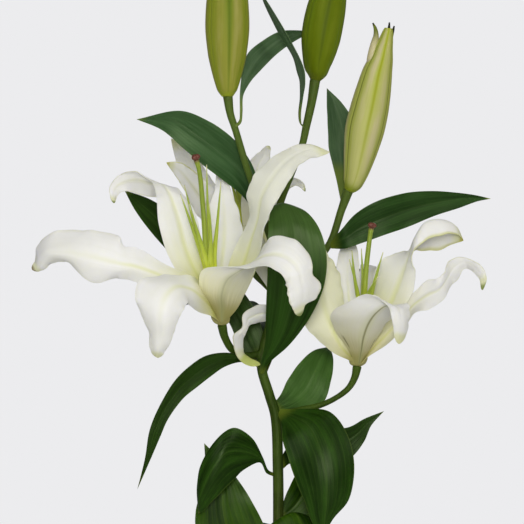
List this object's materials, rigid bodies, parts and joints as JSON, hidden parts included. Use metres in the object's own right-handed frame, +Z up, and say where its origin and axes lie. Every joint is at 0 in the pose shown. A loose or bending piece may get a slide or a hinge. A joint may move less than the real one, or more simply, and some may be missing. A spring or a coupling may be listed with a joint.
{
  "type": "potted lily",
  "caption": "White trumpet lily in a plain terracotta pot: leafy upright stem with open blooms and closed buds at its top.",
  "frame": {"origin": "middle of the pot's underside, which stands on z = 0", "axes": "+Z up along the stem; -Y towards the viewer of the picture; +X to the picture's right"},
  "size_m": [0.3205, 0.2293, 0.707],
  "materials": {
    "leaf": "satin, waxy",
    "stem": "satin",
    "bud": "satin",
    "tepal": "soft, waxy",
    "stamens": "satin",
    "stigma": "moist",
    "pot": "matt, unglazed",
    "soil": "matt, crumbly"
  },
  "bodies": {
    "root": {"pot": "pot", "soil": "soil", "stem": "stem", "leaf_upper_left": "leaf", "leaf_upper_thin": "leaf", "leaf_upper_narrow": "leaf", "leaf_behind_left_bloom": "leaf", "leaf_centre": "leaf", "leaf_right": "leaf", "leaf_behind_tall_bud": "leaf", "leaf_left_hanging": "leaf", "leaf_middle_right": "leaf", "leaf_lower_right": "leaf", "leaf_lower_right_back": "leaf", "leaf_low_right": "leaf", "leaf_low_fold": "leaf", "leaf_lower_left": "leaf", "leaf_lower_left_back": "leaf", "leaf_far_right": "leaf", "leaf_far_left": "leaf", "leaf_far_high": "leaf", "leaf_far_middle": "leaf", "leaf_far_low": "leaf", "leaf_spiral_1": "leaf", "leaf_spiral_2": "leaf", "leaf_spiral_3": "leaf", "leaf_spiral_4": "leaf", "leaf_spiral_5": "leaf", "leaf_spiral_6": "leaf", "leaf_spiral_7": "leaf", "leaf_spiral_8": "leaf", "bloom_left_tepals": "tepal", "bloom_left_stamens": "stamens", "bloom_left_stigma": "stigma", "bloom_right_tepals": "tepal", "bloom_right_stamens": "stamens", "bloom_right_stigma": "stigma", "bloom_back_tepals": "tepal", "bloom_back_stamens": "stamens", "bloom_back_stigma": "stigma", "bud_left": "bud", "bud_middle": "bud", "bud_tall": "bud"}
  },
  "joints": []
}
